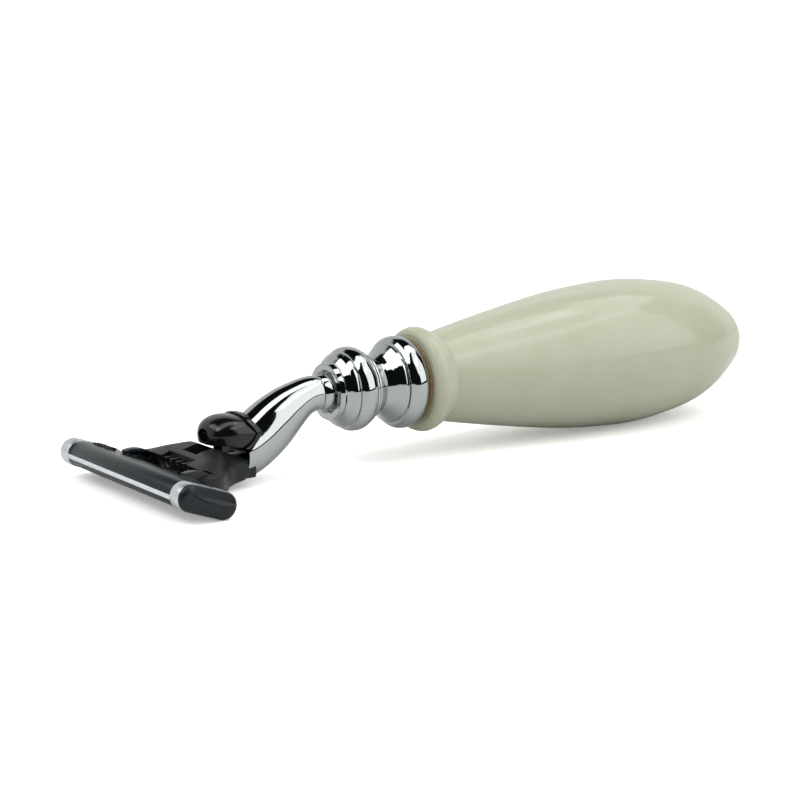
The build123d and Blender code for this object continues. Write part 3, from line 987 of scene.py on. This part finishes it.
def squircle(x, half_width, low, high, power, count=96):
    """A ring of points of a rounded rectangle across the razor, soft for a low power."""
    ring = []
    for i in range(count):
        turn = 2 * math.pi * i / count
        c, s = math.cos(turn), math.sin(turn)
        y = half_width * math.copysign(abs(c) ** (2 / power), c)
        z = (low + high) / 2 + (high - low) / 2 * math.copysign(abs(s) ** (2 / power), s)
        ring.append((PIVOT.x + x * MM, y * MM, z * MM))
    return ring


class RAZOR_OT_button(Operator):
    """Mould the release button"""

    bl_idname = "razor.button"
    bl_label = "Release button"

    def execute(self, context):
        settings = context.scene.razor_head
        x = PIVOT.x
        rings = [squircle(*station) for station in smooth_path(BUTTON_STATIONS, 6)]
        button = link_mesh("thumb_button", ring_surface(rings))
        # undercut over the yoke, curved tail that nests in the neck
        rear = [(14.6, 6.85), (15.9, 8.2), (16.75, 9.45), (15.45, 11.45), (15.35, 13.5)]
        outline = [(6, 7.7), (11.36, 7.7), (13.7, 6.7)] + rear + [(6, 13.5)]
        tail = prism("tail", behind_pivot(outline), -7 * MM, 7 * MM)
        combine(button, [tail], "INTERSECT")
        # raised brim along the tail
        brim_rings = [squircle(at, 5.15, 5.3, 12.35, 2.5) for at in (12.0, 17.5)]
        brim = link_mesh("brim", ring_surface(brim_rings))
        brim_width = 0.95
        band_outline = rear + [(a - brim_width, z) for a, z in reversed(rear)]
        band = prism("band", behind_pivot(band_outline), -7 * MM, 7 * MM)
        combine(brim, [band], "INTERSECT")
        combine(button, [brim], "UNION")
        # hollow in the dome's nose
        hollow_rings = []
        for at, scale in ((6.0, 1.0), (8.7, 1.0), (9.4, 0.85), (9.8, 0.5)):
            ring = []
            for i in range(48):
                turn = 2 * math.pi * i / 48
                y = 1.7 * scale * math.cos(turn)
                z = 9.2 + 1.1 * scale * math.sin(turn)
                ring.append((x + at * MM, y * MM, z * MM))
            hollow_rings.append(ring)
        combine(button, [link_mesh("hollow", ring_surface(hollow_rings))], "DIFFERENCE")
        stem = pivot_box("stem", (10.9, 13.5), 1.5, (6.0, 8.5))
        combine(button, [stem], "UNION")
        round_edges(button, settings.edge, 3, 38)
        dress(button, "button", glossy_abs(settings.button), "button_black", "release_button")
        return {"FINISHED"}


# ---------------------------------------------------------------- stage
def direction(azimuth, elevation):
    """Unit vector to a bearing (from +X towards +Y) and a height, in degrees."""
    a, e = math.radians(azimuth), math.radians(elevation)
    return Vector((math.cos(e) * math.cos(a), math.cos(e) * math.sin(a), math.sin(e)))


def softbox(name, place, aim, width, height, power, turn=0.0):
    """A rectangular lamp at place, facing aim."""
    lamp = bpy.data.lights.new(name, "AREA")
    lamp.shape = "RECTANGLE"
    lamp.size = width
    lamp.size_y = height
    lamp.energy = power
    box = bpy.data.objects.new(name, lamp)
    box.location = place
    box.rotation_mode = "QUATERNION"
    twist = Matrix.Rotation(turn, 3, "Z").to_quaternion()
    box.rotation_quaternion = (aim - place).to_track_quat("-Z", "Y") @ twist
    bpy.context.scene.collection.objects.link(box)
    return box


class RAZOR_OT_stage(Operator):
    """Set up the table, the lights and the camera"""

    bl_idname = "razor.stage"
    bl_label = "Stage"

    def execute(self, context):
        settings = context.scene.razor_stage
        aim = Vector((-11.2, 0, 10.3)) * MM
        camera_data = bpy.data.cameras.new("camera")
        camera_data.lens = settings.lens
        camera_data.sensor_width = 36
        camera_data.clip_start = 0.01
        camera_data.clip_end = 50
        camera = bpy.data.objects.new("camera", camera_data)
        azimuth, elevation = math.radians(settings.azimuth), math.radians(settings.elevation)
        back = Vector(
            (
                math.sin(azimuth) * math.cos(elevation),
                -math.cos(azimuth) * math.cos(elevation),
                math.sin(elevation),
            )
        )
        camera.location = aim + back * settings.distance
        camera.rotation_mode = "QUATERNION"
        twist = Matrix.Rotation(math.radians(settings.roll), 3, "Z").to_quaternion()
        camera.rotation_quaternion = (-back).to_track_quat("-Z", "Y") @ twist
        context.scene.collection.objects.link(camera)
        context.scene.camera = camera

        # table: one wide pale sheet
        reach, drop = 6.0, -0.02 * MM
        sheet = bmesh.new()
        corners = ((-1, -1), (1, -1), (1, 1), (-1, 1))
        sheet.faces.new([sheet.verts.new((x * reach, y * reach, drop)) for x, y in corners])
        table = link_mesh("table", sheet)
        material, tree, shader = start_material("matt_white_laminate", "D8D8D8", roughness=0.7)
        # painted glow, not a lamp: seen by the camera only, the table glows from 0.28 near the
        # razor up to 1.0 on its far part, which lifts the cast shadows round the razor
        place = add(tree, "ShaderNodeTexCoord")
        far = add(
            tree, "ShaderNodeVectorMath", {0: place.outputs["Object"]}, operation="LENGTH"
        )
        glow = add(
            tree,
            "ShaderNodeMapRange",
            {"Value": far.outputs["Value"]},
            From_Min=0.12,
            From_Max=0.6,
            To_Min=0.28,
            To_Max=1.0,
        )
        rays = add(tree, "ShaderNodeLightPath")
        seen = add(
            tree,
            "ShaderNodeMath",
            {0: glow.outputs["Result"], 1: rays.outputs["Is Camera Ray"]},
            operation="MULTIPLY",
        )
        # painted light: the table is white to the camera but 0.7 grey to bounce light and 0.6 grey
        # in reflections, so it mirrors greyer than it looks
        looks = switch(tree, rays.outputs["Is Camera Ray"], (0.7, 0.69, 0.68, 1), (1, 1, 1, 1))
        mirrored = switch(tree, rays.outputs["Is Glossy Ray"], looks, (0.6, 0.61, 0.6, 1))
        tree.links.new(mirrored, shader.inputs["Base Color"])
        # the painted glow is warm, a painted tint of light bounced off the cream handle, which
        # shows only in the shadows
        shader.inputs["Emission Color"].default_value = (1.0, 0.965, 0.92, 1)
        tree.links.new(seen.outputs["Value"], shader.inputs["Emission Strength"])
        table.data.materials.append(material)

        # softboxes: name, place, aim, width, height, power, turn, in metres and watts
        middle = Vector((-0.03, 0, 0.01))
        above, neck = Vector((-0.25, -0.1, 1.0)), Vector((-0.1, 0, 0))
        softbox("overhead_strip", above, neck, 0.4, 1.7, 5.3, math.radians(-22))
        softbox("left_box", middle + direction(163, 50) * 1.2, middle, 1.1, 0.55, 5.0)
        softbox("right_box", middle + direction(-51, 30) * 1.1, middle, 0.92, 1.1, 6.2)
        softbox("high_box", middle + direction(-30, 60) * 1.15, middle, 1.35, 0.4, 3.4)

        world = bpy.data.worlds.new("studio")
        context.scene.world = world
        world.use_nodes = True
        tree = world.node_tree
        tree.nodes.clear()
        place = add(tree, "ShaderNodeTexCoord")
        parts = add(tree, "ShaderNodeSeparateXYZ", {"Vector": place.outputs["Generated"]})
        # grey backdrop behind the razor, low down; the rest of the room mirrors dark
        behind = add(
            tree,
            "ShaderNodeMapRange",
            {"Value": parts.outputs["Y"]},
            From_Min=-0.1,
            From_Max=0.2,
        )
        low = add(
            tree,
            "ShaderNodeMapRange",
            {"Value": parts.outputs["Z"]},
            From_Min=0.72,
            From_Max=0.62,
        )
        glow = add(
            tree,
            "ShaderNodeMath",
            {0: behind.outputs["Result"], 1: low.outputs["Result"]},
            operation="MULTIPLY",
        )
        room = switch(
            tree, glow.outputs["Value"], (0.008, 0.009, 0.01, 1), (0.8, 0.82, 0.81, 1)
        )
        rays = add(tree, "ShaderNodeLightPath")
        # pale walls fill the shadows, and the camera sees a white page
        fill = switch(tree, rays.outputs["Is Diffuse Ray"], room, (0.68, 0.68, 0.68, 1))
        seen = switch(tree, rays.outputs["Is Camera Ray"], fill, (1, 1, 1, 1))
        background = add(tree, "ShaderNodeBackground", {"Color": seen})
        add(tree, "ShaderNodeOutputWorld", {"Surface": background.outputs["Background"]})
        context.scene.view_settings.view_transform = "Standard"
        context.scene.view_settings.exposure = 0.0
        return {"FINISHED"}


class RAZOR_PT_panel(Panel):
    """Lists the razor's pieces"""

    bl_idname = "RAZOR_PT_panel"
    bl_label = "Cartridge Razor"
    bl_space_type = "VIEW_3D"
    bl_region_type = "UI"
    bl_category = "Razor"

    def draw(self, context):
        for settings in (
            context.scene.razor_handle,
            context.scene.razor_chrome,
            context.scene.razor_head,
            context.scene.razor_stage,
        ):
            for name in settings.__annotations__:
                self.layout.prop(settings, name)
        for operator in OPERATORS:
            self.layout.operator(operator.bl_idname)


OPERATORS = (
    RAZOR_OT_stage,
    RAZOR_OT_handle,
    RAZOR_OT_collars,
    RAZOR_OT_neck,
    RAZOR_OT_fixings,
    RAZOR_OT_cartridge,
    RAZOR_OT_yoke,
    RAZOR_OT_button,
)
SETTINGS = (
    ("razor_handle", HandleSettings),
    ("razor_chrome", ChromeSettings),
    ("razor_head", HeadSettings),
    ("razor_stage", StageSettings),
)


def register():
    for name, group in SETTINGS:
        bpy.utils.register_class(group)
        setattr(bpy.types.Scene, name, PointerProperty(type=group))
    for operator in OPERATORS:
        bpy.utils.register_class(operator)
    bpy.utils.register_class(RAZOR_PT_panel)


def unregister():
    bpy.utils.unregister_class(RAZOR_PT_panel)
    for operator in reversed(OPERATORS):
        bpy.utils.unregister_class(operator)
    for name, group in reversed(SETTINGS):
        delattr(bpy.types.Scene, name)
        bpy.utils.unregister_class(group)


def main():
    register()
    for operator in OPERATORS:
        family, name = operator.bl_idname.split(".")
        getattr(getattr(bpy.ops, family), name)()


if __name__ == "__main__":
    main()
